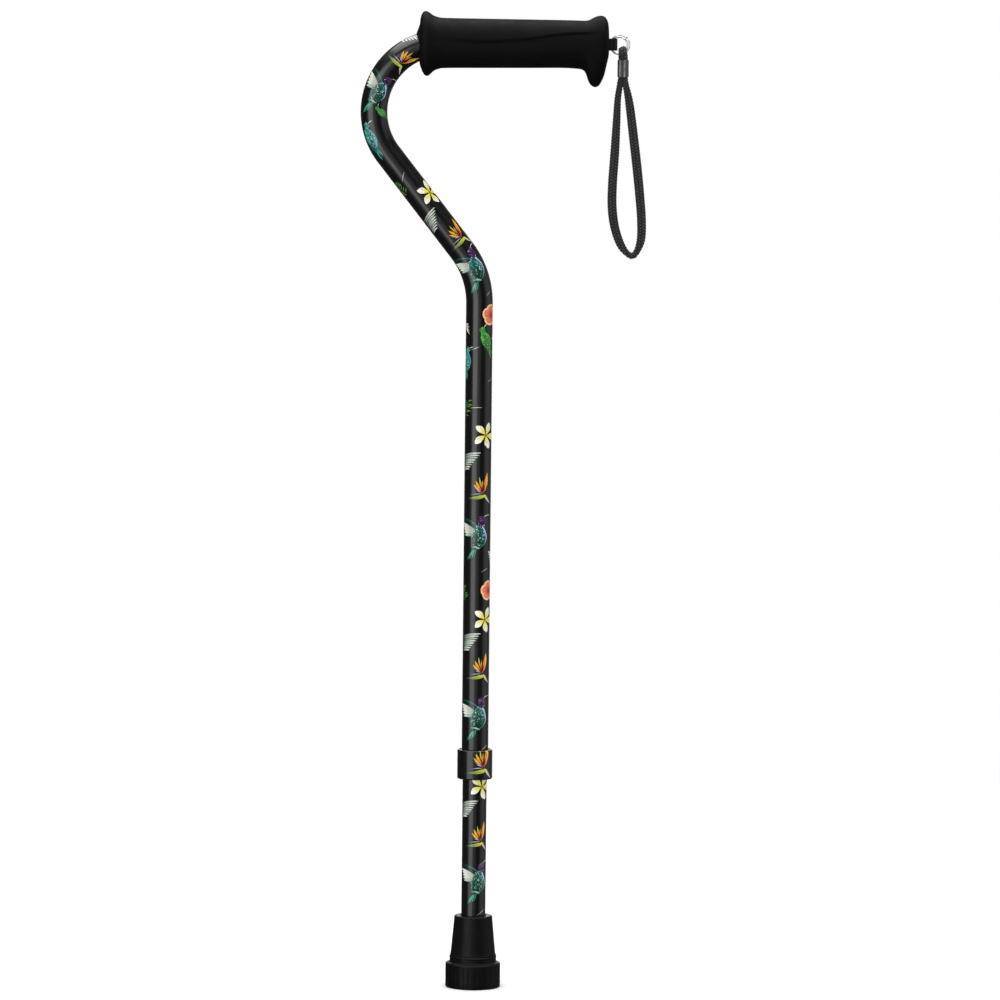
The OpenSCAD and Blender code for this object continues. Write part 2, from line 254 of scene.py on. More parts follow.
def make_cord():
    """The braided wrist cord, swept along its route, with its strands raised from its surface."""
    sides, carriers, pitch, relief, step = 48, 8, 0.020, 0.0009, 0.0004
    pressed_thickness, nudge = 0.0036, 0.02
    route = np.array(CORD_ROUTE) * (MM, MM, MM, MM, MM, 1)
    fine = np.linspace(0, len(route) - 1, 3000)
    line = catmull(route, fine)[:, :3]
    distance = np.concatenate(([0], np.cumsum(np.linalg.norm(np.diff(line, axis=0), axis=1))))
    length = float(distance[-1])
    count = int(length / step)
    at = np.linspace(0, length, count)
    u = np.interp(at, distance, fine)
    rows = catmull(route, u)
    centre = rows[:, :3]
    heading = catmull(route, u + nudge)[:, :3] - catmull(route, u - nudge)[:, :3]
    heading /= np.linalg.norm(heading, axis=1)[:, None]
    turn = np.radians(rows[:, 5])
    slope = 0.34 * np.clip((rows[:, 2] - RING_TURN_Z) / 0.005, 0, 1)
    wide = np.stack((np.cos(turn), np.sin(turn), slope), axis=1)
    wide -= heading * np.sum(wide * heading, axis=1)[:, None]
    wide /= np.linalg.norm(wide, axis=1)[:, None]
    thick = np.cross(heading, wide)
    angle = turns(sides)
    height = braid_height(angle / (2 * np.pi), at[:, None], carriers, pitch)
    loose = np.clip((rows[:, 4] - pressed_thickness) / 0.0002, 0, 1) * (rows[:, 2] < CRIMP_LOW_Z)
    # the strands stand out where the cord is loose, and sink in where it is pressed
    lift = relief * (height - 0.75 + 0.25 * loose[:, None])
    across = (np.cos(angle) * (rows[:, 3, None] / 2 + lift))[..., None]
    through = (np.sin(angle) * (rows[:, 4, None] / 2 + lift))[..., None]
    points = centre[:, None] + wide[:, None] * across + thick[:, None] * through
    piece = loft("wrist_cord", list(points))
    # the braid height is kept for the material, which uses it to paint shade into the gaps between
    # strands
    attribute = piece.data.attributes.new("braid", "FLOAT", "POINT")
    end_caps = [0.5, 0.5]
    values = np.concatenate((height.ravel(), end_caps))
    attribute.data.foreach_set("value", values.astype(np.float32))
    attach(piece, "strap")
    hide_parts("wrist_strap")
    return piece


# ---------------- colours of the print
def tint(code):
    """A colour from its six-digit code, as linear light."""
    parts = [int(code[i : i + 2], 16) / 255 for i in (0, 2, 4)]
    return np.array([p / 12.92 if p <= 0.04045 else ((p + 0.055) / 1.055) ** 2.4 for p in parts])


INK = tint("080809")
CREAM = tint("FFFEF6")
SHADE = tint("D6D0B0")
BUTTER = tint("E9DE12")
AMBER = tint("BCA41C")
ORANGE = tint("FBA428")
FLAME = tint("D9601A")
GARNET = tint("6E1512")
LIME = tint("C6DB4E")
LEAF = tint("3F9A3C")
GREEN = tint("35C43E")
PINE = tint("123A22")
VIOLET = tint("7061B4")
PLUM = tint("6B3C86")
ROSE = tint("DBA3CB")
TEAL = tint("167068")
AQUA = tint("4CC4BC")
SKY = tint("A8D4EE")
SILVER = tint("E9EEE2")
MINT = tint("B4D6BC")
CORAL = tint("F4693F")
PEACH = tint("F9CFA6")
CRIMSON = tint("B72A1A")


def flat(colour):
    return glow(1, colour, colour)


def glow(reach, near, far, centre=(0.0, 0.0)):
    """A colour that changes with distance from a point."""
    return ("glow", centre, (centre[0] + reach, centre[1]), near, far)


def fade(start, end, near, far):
    """A colour that changes along a line."""
    return ("fade", start, end, near, far)


def paint_at(paint, points):
    kind, start, end, near, far = paint
    start, end = np.array(start), np.array(end)
    reach = np.linalg.norm(end - start)
    if kind == "glow":
        share = np.linalg.norm(points - start, axis=-1) / reach
    else:
        share = (points - start) @ (end - start) / reach**2
    share = np.clip(share, 0, 1)
    share = share * share * (3 - 2 * share)
    return near + (far - near) * share[..., None]


# ---------------- outlines of the print
def polar(length, degrees):
    return (length * math.cos(math.radians(degrees)), length * math.sin(math.radians(degrees)))


def blade(base, tip, width, bow=0, peak=1, blunt=1, steps=9):
    """An outline that swells from base to tip. peak over 1 puts its widest place nearer the tip."""
    base, tip = np.array(base, float), np.array(tip, float)
    t = np.linspace(0, 1, steps)
    axis = tip - base
    side = np.array((-axis[1], axis[0])) / np.linalg.norm(axis)
    middle = base + np.outer(t, axis) + np.outer(np.sin(np.pi * t) * bow, side)
    half = np.outer(width / 2 * np.clip(np.sin(np.pi * t**peak), 0, 1) ** blunt, side)
    return np.vstack((middle - half, (middle + half)[-2:0:-1]))


def oval(centre, wide, high, turn=0, steps=14):
    a = turns(steps)
    x, y = wide / 2 * np.cos(a), high / 2 * np.sin(a)
    c, s = math.cos(math.radians(turn)), math.sin(math.radians(turn))
    return np.stack((centre[0] + x * c - y * s, centre[1] + x * s + y * c), axis=1)


def plumeria(dice):
    """Five waxy petals, white with a yellow heart."""
    shapes = []
    for k in range(5):
        a = 72 * k - 2 + dice.uniform(-4, 4)
        reach = 11.4 + dice.uniform(-0.6, 0.6)
        petal = blade(polar(0.6, a), polar(reach, a), 5.3, -0.6, 1.3, 0.85, 11)
        flame = blade(polar(0.4, a), polar(7.4, a - 1), 3, -0.3, 1.1)
        shapes.append((petal, glow(11.5, BUTTER, CREAM)))
        shapes.append((flame, glow(8, BUTTER, (BUTTER + CREAM) / 2)))
        fold = blade(polar(1.5, a - 7), polar(reach * 0.92, a - 11), 0.8, -0.4, 1.3)
        heart = blade(polar(0.5, a + 6), polar(4.2, a + 4), 0.7, 0.2)
        shapes.append((fold, glow(11, BUTTER, SHADE)))
        shapes.append((heart, glow(4, AMBER, BUTTER)))
    return shapes


def striped_wing(dice):
    """A folded wing: a fan of long pale feathers with dark gaps between them."""
    shapes = []
    for k in range(8):
        tip = (7.6 - 1.45 * k + dice.uniform(-0.3, 0.3), 6.8 - 1.95 * k)
        base = (-11, 3.6 - 1.75 * k)
        tone = MINT if k % 3 == 2 else SILVER
        shapes.append((blade(base, tip, 1.3, 0.8, 1.3, 0.6, 11), fade(base, tip, tone * 0.3, tone)))
        shapes.append((blade(base, tip, 0.22, 0.8, 1), flat(PINE)))
    return shapes


def crane_flower(dice):
    """A crane flower: upright orange sepals, violet darts and a long green beak."""
    return [
        (blade((1.6, -1.4), (8.6, -9.6), 1.9, -0.4, 0.8), fade((1, -1), (8, -9), LIME, ROSE)),
        (blade((-10.4, -2), (0.6, -1.2), 0.5, 0.2), fade((-9.6, -2.2), (0, -1), VIOLET, SILVER)),
        (blade((0.4, -0.6), (-6.8, 4.2), 1, 0.3), fade((0, 0), (-6.6, 4), PLUM, VIOLET)),
        (blade((0.6, -0.2), (-4.8, 1.6), 0.6, 0.2), fade((0, 0), (-5, 2), VIOLET, SILVER)),
        (blade((0.2, 0), (-2.4, 12.8), 1.3, 0.3), fade((0, 3), (-2.4, 12), FLAME, LIME)),
        (blade((0, 2), (0.4, 10.2), 0.8, 0.3), fade((0, 3), (0, 10), FLAME, LIME)),
        (blade((-0.2, 0.2), (-5.4, 9.8), 2.3, 0.5), fade((0, 0), (-5, 9), GARNET, ORANGE)),
        (blade((-0.6, 1.6), (-4.6, 8.6), 0.5, 0.3), fade((0, 0), (-5, 9), ORANGE, BUTTER)),
        (blade((-1, 0.6), (-7.2, 6.8), 1.1, 0.4), fade((-1, 0), (-7, 7), ORANGE, BUTTER)),
        (blade((0.8, -1), (4.8, 16.4), 3.3, -0.7), fade((0.8, 0), (4, 12), FLAME, ORANGE)),
        (blade((1.2, 0.8), (3.4, 12.4), 0.5, -0.5), fade((1, 1), (3, 12), GARNET, FLAME)),
        (blade((2.8, 1), (4.9, 14.6), 0.8, -0.5), fade((2.6, 1), (4.7, 14), ORANGE, BUTTER)),
        (blade((1.6, 0.4), (1, 8.8), 1.7, 0.1), fade((1.6, 0), (1.2, 8), INK, GARNET)),
        (blade((0.2, 0.6), (-1.6, 6.4), 1, 0.2), fade((0, 0), (-2, 6), INK, GARNET)),
        (
            blade((-14.8, -5.4), (4.4, -2.6), 2.9, -0.5, 1.7, 0.9, 11),
            fade((-14, -5), (4, -3), PINE, LIME),
        ),
        (blade((-12.5, -5), (3.6, -2.1), 0.6, 0.1, 1.4), fade((-11, -4), (3, -2), LEAF, ORANGE)),
        (blade((-10, -5.2), (3.4, -3.4), 0.4, -0.3, 1.2), fade((-10, -5), (3, -3), PINE, LEAF)),
    ]


def scales(dice, centre, wide, high, count, tones):
    """Small feather marks scattered over an oval."""
    shapes = []
    for _ in range(count):
        a, r = dice.uniform(0, 2 * math.pi), math.sqrt(dice.random())
        at = (centre[0] + wide / 2 * r * math.cos(a), centre[1] + high / 2 * r * math.sin(a))
        size = dice.uniform(0.26, 0.56)
        shapes.append((oval(at, size, size * 1.6, dice.uniform(-40, 40), 5), flat(dice.choice(tones))))
    return shapes


def hummingbird(dice):
    """A hovering bird: plum head, speckled green and blue body, pale wing and teal tail."""
    dark = PINE * 0.35
    shapes = [
        (blade((1, 6.8), (-15.5, 12.6), 3.2, -0.8, 1.1, 0.9, 11), fade((0, 6), (-15, 12), TEAL, dark)),
        (blade((0.6, 6.4), (-15, 11.6), 2.3, -0.8, 1.1, 0.9, 11), flat(dark)),
    ]
    for k in range(5):
        tip = (-15 + 0.8 * k, 9.6 - 2 * k)
        tone = MINT if k == 4 else SILVER
        feather = blade((-1.4, 4.6 - 0.7 * k), tip, 2.1, -0.5, 1.2, 0.8)
        shapes.append((feather, fade((-2, 4), tip, tone * 0.3, tone)))
    for k in range(4):
        tip = (-8.6 + 1.3 * k, -14.8 + 0.5 * k)
        end = AQUA if k % 2 else TEAL
        shapes.append((blade((-1.8, -5), tip, 1.7, 0.3, 1.3), fade((-2, -6), tip, LEAF, end)))
        shapes.append((blade((-1.9, -6), tip, 0.9, 0.3, 1.3), fade((-2, -6), tip, dark, PINE)))
    shapes += [
        (blade((1.4, 9.2), (-3.8, -8.8), 11, 1.3, 0.95, 0.85, 13), fade((5, 4), (-1, 0), SKY, TEAL)),
        (
            blade((0.7, 8.4), (-3.8, -8), 9.8, 1.6, 0.95, 0.85, 13),
            fade((2, 6), (-3, -6), TEAL * 0.5, dark),
        ),
        (blade((1, -7.4), (-6.4, -6.2), 1, -0.8), fade((0, -7), (-6, -6), MINT, TEAL)),
        (blade((2.6, 13.4), (9, 15), 0.45, 0.9), fade((2, 13), (9, 15), SHADE, SILVER)),
        (oval((1.9, 10.6), 5.2, 7, -12), glow(3.4, INK, PLUM * 0.4, (2.2, 9.8))),
    ]
    shapes += scales(dice, (-1.4, 1.2), 9, 15, 120, (PINE, dark, TEAL, AQUA, LEAF, MINT, SILVER))
    shapes += scales(dice, (3, 3.6), 3, 10, 30, (SKY, SKY, AQUA, VIOLET, SILVER))
    shapes += scales(dice, (1.9, 10.8), 5.6, 7.6, 44, (ROSE, PLUM, PLUM, VIOLET, INK))
    return shapes


def hibiscus(dice):
    """Five broad coral petals with a crimson heart and a long stamen."""
    shapes = []
    for k in range(5):
        a = 72 * k + 20 + dice.uniform(-5, 5)
        petal = blade(polar(0.5, a), polar(9.6, a), 9.2, 0.6, 1.7, 0.55, 13)
        middle = blade(polar(0.8, a), polar(8.2, a), 6.6, 0.4, 1.5, 0.7, 11)
        shapes.append((petal, glow(9.4, CRIMSON, PEACH)))
        shapes.append((middle, glow(7.4, CRIMSON, CORAL)))
        for s in (-14, 0, 14):
            vein = blade(polar(2.2, a + s * 0.4), polar(7.2, a + s), 0.35)
            shapes.append((vein, glow(8, GARNET, PEACH)))
    shapes.append((blade((0, 0), (5.2, 6.4), 0.9, 0.5), fade((0, 0), (5, 6), CRIMSON, BUTTER)))
    for k in range(5):
        shapes.append((oval((4 + 0.7 * (k % 3), 5.2 + 0.6 * (k // 2)), 0.7, 0.7, 0, 6), flat(BUTTER)))
    return shapes


def perched_bird(dice, edge, heart, marks):
    """A perched bird in an outline colour, a breast colour and the colours of its feather marks."""
    dark = PINE * 0.4
    shapes = []
    for k in range(4):
        tip = (-4.8 + 1.3 * k, -15 + 0.8 * k)
        end = edge if k % 2 else dark
        shapes.append((blade((-1.6, -4.6), tip, 1.6, 0.2, 1.2), fade((-1, -5), tip, heart, end)))
        shapes.append((blade((-1.6, -5.6), tip, 0.5, 0.2, 1.2), flat(dark)))
    shapes += [
        (blade((0.6, 8.4), (-2.6, -8.6), 8.2, 0.8, 0.95, 0.9, 13), fade((2, 8), (-3, -9), edge, heart)),
        (
            blade((0.4, 7.6), (-2.6, -8), 7, 0.9, 0.95, 0.9, 13),
            fade((1, 7), (-3, -8), heart * 0.7, heart * 0.35),
        ),
        (blade((-1.8, 5), (-5.4, -8.4), 2.4, 0.5, 0.9, 0.9), fade((-2, 5), (-5, -8), heart, dark)),
        (oval((1.2, 8.6), 4.4, 4.6), glow(3, edge * 0.5, heart * 0.6, (1.8, 8))),
        (blade((2.8, 9.4), (7, 10.4), 0.6, 0.3), flat(SHADE)),
    ]
    shapes += scales(dice, (-0.4, 0.6), 7.6, 14, 130, marks)
    shapes += scales(dice, (1.2, 8.6), 4.4, 4.6, 20, marks)
    return shapes


def green_bird(dice):
    return perched_bird(dice, GREEN, LEAF, (GREEN, GREEN, LEAF, LIME, PINE, AQUA))


def blue_bird(dice):
    return perched_bird(dice, AQUA, TEAL * 1.6, (AQUA, AQUA, SKY, SILVER, MINT, TEAL, VIOLET))


def quills(dice):
    """A few loose pale feathers."""
    shapes = []
    for k in range(4):
        tip = (4.8 - 0.5 * k, -3.4 + 3 * k)
        feather = blade((-5.5, 5.5 - 0.6 * k), tip, 1.3, 0.4 * k, 1.3)
        shapes.append((feather, fade((-5, 5), tip, ROSE * 0.5, CREAM)))
    return shapes


def sprig(dice):
    """Narrow leaves on a stem."""
    shapes = [(blade((0, -7), (0.6, 7), 0.4, 0.6), fade((0, -6), (0, 6), PINE, LEAF))]
    for k in range(12):
        side = 1 if k % 2 else -1
        base = (0.2, -6 + 1.05 * k)
        tip = (base[0] + side * dice.uniform(3, 5.8), base[1] + dice.uniform(0.6, 3.6))
        leaf = blade(base, tip, dice.uniform(0.6, 1.1), 0.3 * side)
        shapes.append((leaf, fade(base, tip, PINE, LEAF)))
        shapes.append((blade(base, tip, 0.18, 0.3 * side), fade(base, tip, LEAF, LIME)))
    return shapes


def filament(dice):
    """One thin pale stroke."""
    return [(blade((-5, -1.4), (5, 1.4), 0.42, 0.3), fade((-5, -1), (5, 1), PEACH * 0.7, SILVER))]


# what is drawn, distance along the tube, angle round it from the front, and in some rows its turn
# on the surface and its size
FRONT_UPPER = [
    (filament, 13, 42, 20, 1),
    (hummingbird, 38, 16, 0, 1.25),
    (crane_flower, 77, 24),
    (striped_wing, 102.5, -16),
    (plumeria, 121, 40),
    (sprig, 142, -66, 20, 0.9),
    (hibiscus, 145, 62, 0, 0.9),
    (filament, 162, 36, 10, 0.8),
    (hummingbird, 189, 9, 0, 1.25),
    (crane_flower, 227, 20),
    (striped_wing, 253, -25),
    (plumeria, 274.5, 35),
    (filament, 297, -12, -12, 1.15),
    (sprig, 296, -66, -20, 1.1),
    (blue_bird, 335, -60, 4, 1.15),
    (green_bird, 353, 36, 34, 1.1),
    (quills, 361, -66, 0, 0.9),
    (filament, 346, -18, 6, 0.9),
    (filament, 320, 58, 12, 0.8),
    (hibiscus, 374, 60, 0, 0.95),
    (filament, 391, 46, 24, 0.7),
    (hummingbird, 411, 18, 0, 1.25),
    (crane_flower, 440.5, 34),
    (striped_wing, 465, -12, 6, 1),
    (plumeria, 484.5, 48),
    (sprig, 500, -56, 26, 1),
    (filament, 508, -8, 26, 0.9),
    (blue_bird, 547, -34, 14, 1.2),
    (green_bird, 567, 42, 60, 0.75),
    (hummingbird, 584, 8, -6, 1.2),
    (crane_flower, 618, 20, -4, 1),
    (striped_wing, 636, -48, 14, 1),
]
BACK_UPPER = [
    (plumeria, 24, 150, 30, 1),
    (hibiscus, 62, 205),
    (green_bird, 96, 130),
    (crane_flower, 128, 200),
    (hummingbird, 166, 146, 0, 1.2),
    (striped_wing, 196, 214),
    (plumeria, 222, 140),
    (hibiscus, 258, 205, 40, 1),
    (sprig, 262, 118),
    (blue_bird, 296, 150, 10, 1.1),
    (crane_flower, 330, 205),
    (plumeria, 352, 128, 20, 1),
    (hummingbird, 384, 190, 0, 1.2),
    (hibiscus, 424, 140),
    (striped_wing, 440, 222),
    (crane_flower, 476, 176),
    (plumeria, 512, 150),
    (sprig, 530, 205, 0, 1.1),
    (hummingbird, 558, 172, 0, 1.2),
    (hibiscus, 596, 200),
    (crane_flower, 632, 160),
]
# heights on the lower tube are from its lower end
FRONT_LOWER = [
    (filament, 53, 40, 16, 1),
    (hummingbird, 78, 26, 0, 1.2),
    (crane_flower, 114, 28, 0, 0.95),
    (striped_wing, 140.5, -20, 0, 0.95),
    (plumeria, 159, 37),
    (hibiscus, 184, 46, 0, 0.95),
    (blue_bird, 214, -30),
    (hummingbird, 248, 16, 0, 1.2),
    (crane_flower, 282, 24, 0, 0.95),
    (plumeria, 310, 34),
]
BACK_LOWER = [
    (hibiscus, 68, 170),
    (sprig, 92, 215),
    (plumeria, 104, 132),
    (hummingbird, 136, 186, 0, 1.15),
    (crane_flower, 172, 160, 0, 0.95),
    (striped_wing, 202, 200, 0, 0.95),
    (hibiscus, 230, 140),
    (plumeria, 262, 190),
    (hummingbird, 296, 160, 0, 1.15),
]
AROUND_COLLAR = [
    (crane_flower, 11.6, 27, 0, 1.1),
    (plumeria, 12.5, 122, 20, 0.8),
    (hibiscus, 12, 196, 0, 0.85),
    (sprig, 12, 232),
    (green_bird, 13.5, 262, 0, 0.62),
]


def lay_out(placements, radius, seed):
    """Every outline and its paint, placed on the unrolled surface, and again past the seam."""
    dice = random.Random(seed)
    mm_radius = radius / MM
    shapes = []
    for draw, along, degrees, *rest in placements:
        turn, size = rest or (0, 1)
        c, s = size * math.cos(math.radians(turn)), size * math.sin(math.radians(turn))
        drawn = draw(dice)
        for lap in (-1, 0, 1):
            across = mm_radius * math.radians(degrees + 360 * lap)

            def put(p, across=across):
                x, y = np.moveaxis(np.asarray(p, float), -1, 0)
                return np.stack((across + c * x - s * y, along + s * x + c * y), axis=-1)

            for outline, (kind, start, end, near, far) in drawn:
                shapes.append((put(outline), (kind, put(start), put(end), near, far)))
    return shapes


# ---------------- printed skins
SEAM = math.radians(-112)


def unrolled(radius, length, rows, columns, shapes, holes):
    """Triangles of a tube's unrolled surface in millimetres.

    With them comes each triangle's outline: its number among the shapes, or -1 for bare ink.
    """
    mm_radius = radius / MM
    start = mm_radius * SEAM
    lap = 2 * math.pi * mm_radius
    points = [(start, 0.0), (start + lap, 0.0), (start + lap, length), (start, length)]
    faces = [[0, 1, 2, 3]]

    def add_outline(outline):
        faces.append(list(range(len(points), len(points) + len(outline))))
        points.extend(tuple(p) for p in outline)

    for v in rows:
        ends = v <= 0 or v >= length
        for k in range(columns + 1):
            if not (ends and k in (0, columns)):
                points.append((start + lap * k / columns, float(v)))
    for outline in holes:
        add_outline(outline)
    owners = [-1] * len(faces)
    for i, (outline, _) in enumerate(shapes):
        low, high = outline.min(axis=0), outline.max(axis=0)
        if high[0] < start or low[0] > start + lap:
            continue
        add_outline(outline)
        owners.append(i)
    found = delaunay_2d_cdt([Vector(p) for p in points], [], faces, 1, 1e-4, True)
    flat_points = np.array([tuple(p) for p in found[0]])
    triangles, tops = [], []
    for face, sources in zip(found[2], found[5]):
        if 0 not in sources or any(0 < f <= len(holes) for f in sources):
            continue
        triangles.append(face)
        tops.append(owners[max(sources)])
    return flat_points, np.array(triangles), np.array(tops)


class Skin:
    """Corners, faces, colours and exact normals of one closed printed piece."""

    def __init__(self):
        self.points, self.faces, self.colours, self.normals, self.slots = [], [], [], [], []

    def add(self, points, normals, faces, colours=None, slot=0):
        first = sum(len(p) for p in self.points)
        self.points.append(np.asarray(points, float))
        for i, face in enumerate(faces):
            self.faces.append([first + k for k in face])
            self.normals.extend(normals[k] for k in face)
            self.colours.extend(colours[i] if colours is not None else [INK] * len(face))
            self.slots.append(slot)

    def build(self, name):
        piece = link_mesh(name, np.vstack(self.points), self.faces)
        mesh = piece.data
        colour = mesh.color_attributes.new("print_colour", "FLOAT_COLOR", "CORNER")
        rgba = np.ones((len(self.colours), 4), np.float32)
        rgba[:, :3] = np.array(self.colours)
        colour.data.foreach_set("color", rgba.ravel())
        exact = mesh.attributes.new("exact", "FLOAT_VECTOR", "CORNER")
        exact.data.foreach_set("vector", np.array(self.normals, np.float32).ravel())
        mesh.polygons.foreach_set("material_index", self.slots)
        weld(mesh, False)
        exact = mesh.attributes["exact"]
        normals = np.zeros(len(mesh.loops) * 3, np.float32)
        exact.data.foreach_get("vector", normals)
        mesh.attributes.remove(exact)
        mesh.normals_split_custom_set([tuple(n) for n in normals.reshape(-1, 3)])
        return piece


def roll_up(place, flat_points, radius):
    """Unrolled points, in millimetres, put on a surface of this radius, with their normals."""
    return place(flat_points[:, 1] * MM, flat_points[:, 0] * MM / radius)


def add_print(skin, place, radius, length, rows, columns, shapes, holes=()):
    """The outer surface: place(along, angle) gives points and normals in metres."""
    flat_points, triangles, tops = unrolled(radius, length, rows, columns, shapes, holes)
    points, normals = roll_up(place, flat_points, radius)
    colours = np.tile(INK, (len(triangles), 3, 1))
    for top in np.unique(tops[tops >= 0]):
        chosen = np.nonzero(tops == top)[0]
        colours[chosen] = paint_at(shapes[top][1], flat_points[triangles[chosen]])
    skin.add(points, normals, triangles.tolist(), colours.tolist())


def add_rows(skin, rings, normals, slot):
    """Quads through rings of points. The surface faces the way that its normals say."""
    count = len(rings[0])
    points = np.vstack(rings)
    faces = []
    for i in range(len(rings) - 1):
        faces += ring_faces(i * count, (i + 1) * count, count)
    a, b, d = (points[faces[0][k]] for k in (0, 1, 3))
    if np.dot(np.cross(b - a, d - a), np.vstack(normals)[faces[0][0]]) < 0:
        faces = [face[::-1] for face in faces]
    skin.add(points, np.vstack(normals), faces, slot=slot)


def stretch_to(distance, tilt, bend):
    """How far a stretch of tube goes in X and Z over a distance, and its lean there."""
    lean = tilt + bend * distance
    if bend:
        return (np.cos(lean) - math.cos(tilt)) / bend, (np.sin(lean) - math.sin(tilt)) / bend, lean
    return -distance * math.sin(tilt), distance * math.cos(tilt), lean


def crook(along):
    """The upper tube's centre line in X and Z, and its lean, at distances from its lower end."""
    along = np.asarray(along, float)
    straight = HANDLE_Z - TOP_BEND_R * (1 + math.sin(LEAN)) - SLOPE_LEN * math.cos(LEAN)
    straight -= LOW_BEND_R * math.sin(LEAN) + TUBE_FOOT_Z
    stretches = [
        (straight, 0.0),
        (LOW_BEND_R * LEAN, 1 / LOW_BEND_R),
        (SLOPE_LEN, 0.0),
        (TOP_BEND_R * (LEAN + math.pi / 2), -1 / TOP_BEND_R),
        (1.0, 0.0),
    ]
    x, z, lean = np.zeros_like(along), np.zeros_like(along), np.zeros_like(along)
    at, px, pz, tilt = 0.0, 0.0, TUBE_FOOT_Z, 0.0
    for length, bend in stretches:
        here = along >= at
        right, up, lean[here] = stretch_to(along[here] - at, tilt, bend)
        x[here], z[here] = px + right, pz + up
        right, up, tilt = stretch_to(length, tilt, bend)
        px, pz, at = px + right, pz + up, at + length
    return x, z, lean


def crook_reach(x):
    """How far along its centre line the upper tube gets to x, on its way into the handle."""
    # past 0.6 m the tube only runs towards +X
    trial = np.linspace(0.6, 0.9, 3001)
    return float(np.interp(x, crook(trial)[0], trial))


def on_crook(radius):
    """Gives place(along, angle), which puts points on the bent tube, with their normals."""

    def place(along, angle):
        x, z, lean = crook(along)
        angle = np.broadcast_to(angle, x.shape)
        side = np.sin(angle)
        out = np.stack((side * np.cos(lean), -np.cos(angle), side * np.sin(lean)), axis=1)
        return np.stack((x, np.zeros_like(x), z), axis=1) + radius * out, out

    return place


def on_stem(radius):
    """The same for the lower tube, which is upright."""

    def place(along, angle):
        level = np.zeros_like(angle)
        out = np.stack((np.sin(angle), -np.cos(angle), level), axis=1)
        return radius * out + np.stack((level, level, stem_low.z + along), axis=1), out

    return place


def hole_outline(radius, height, steps=28):
    """A hole drilled along Y, unrolled in millimetres, at this height above the tube's lower end."""
    a = turns(steps)
    x, z = HOLE_R * np.cos(a), HOLE_R * np.sin(a)
    across = (math.pi - np.arcsin(x / radius)) * radius
    return np.stack((across, height + z), axis=1)[::-1] / MM


def printed_tube(name, place_at, outer_r, inner_r, length, rows, columns, shapes, hole_heights):
    """One closed tube: printed outside, bare inside, with its holes' walls and end rims."""
    outer, inner = place_at(outer_r), place_at(inner_r)
    skin = Skin()
    outer_holes = [hole_outline(outer_r, h) for h in hole_heights]
    inner_holes = [hole_outline(inner_r, h) for h in hole_heights]
    add_print(skin, outer, outer_r, length / MM, rows, columns, shapes, outer_holes)
    inner_rows = rows[::4] + [length / MM]
    flat_points, triangles, _ = unrolled(inner_r, length / MM, inner_rows, columns, [], inner_holes)
    points, normals = roll_up(inner, flat_points, inner_r)
    skin.add(points, -normals, [t[::-1] for t in triangles.tolist()], slot=1)
    for outer_hole, inner_hole in zip(outer_holes, inner_holes):
        outer_points, _ = roll_up(outer, outer_hole, outer_r)
        inner_points, _ = roll_up(inner, inner_hole, inner_r)
        inward = outer_points.mean(axis=0) - outer_points
        inward[:, 1] = 0
        inward /= np.linalg.norm(inward, axis=1)[:, None]
        add_rows(skin, [outer_points, inner_points], [inward, inward], 1)
    turn = SEAM + turns(columns)
    for along, sign in ((0.0, -1), (length, 1)):
        at = np.full(columns, along)
        outer_points, _ = outer(at, turn)
        inner_points, _ = inner(at, turn)
        onwards = outer(at + MM, turn)[0] - outer_points
        facing = sign * onwards / np.linalg.norm(onwards, axis=1)[:, None]
        add_rows(skin, [outer_points, inner_points], [facing, facing], 1)
    return skin.build(name)


def row_heights(stretches):
    """Heights of rows of points: each stretch is (start, end, step), all in millimetres."""
    rows = []
    for start, end, step in stretches:
        count = max(1, round((end - start) / step))
        rows += [start + (end - start) * k / count for k in range(count)]
    return rows + [stretches[-1][1]]


def make_upper_tube():
    length = crook_reach(TUBE_END_X)
    inside_grip = 660
    columns = 64
    steps = range(-HOLES_BELOW_BUTTON, HOLES_ABOVE_BUTTON + 1)
    heights = [BUTTON_Z + k * HOLE_PITCH - TUBE_FOOT_Z for k in steps]
    rows = row_heights([(0, inside_grip, 2.0), (inside_grip, length / MM, 6)])
    shapes = lay_out(FRONT_UPPER + BACK_UPPER, TUBE_R, 7)
    piece = printed_tube(
        "upper_tube_printed", on_crook, TUBE_R, TUBE_IN_R, length, rows, columns, shapes, heights
    )
    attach(piece, "upper")
    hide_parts("upper_tube")
    return piece


def make_lower_tube():
    length = stem_high.z - stem_low.z
    inside_tip, above_print = 44, 330
    columns = 60
    rows = row_heights(
        [(0, inside_tip, 6), (inside_tip, above_print, 2.0), (above_print, length / MM, 6)]
    )
    shapes = lay_out(FRONT_LOWER + BACK_LOWER, STEM_R, 11)
    heights = [BUTTON_Z - stem_low.z]
    piece = printed_tube(
        "lower_tube_printed", on_stem, STEM_R, STEM_IN_R, length, rows, columns, shapes, heights
    )
    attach(piece, "lower")
    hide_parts("lower_tube")
    return piece


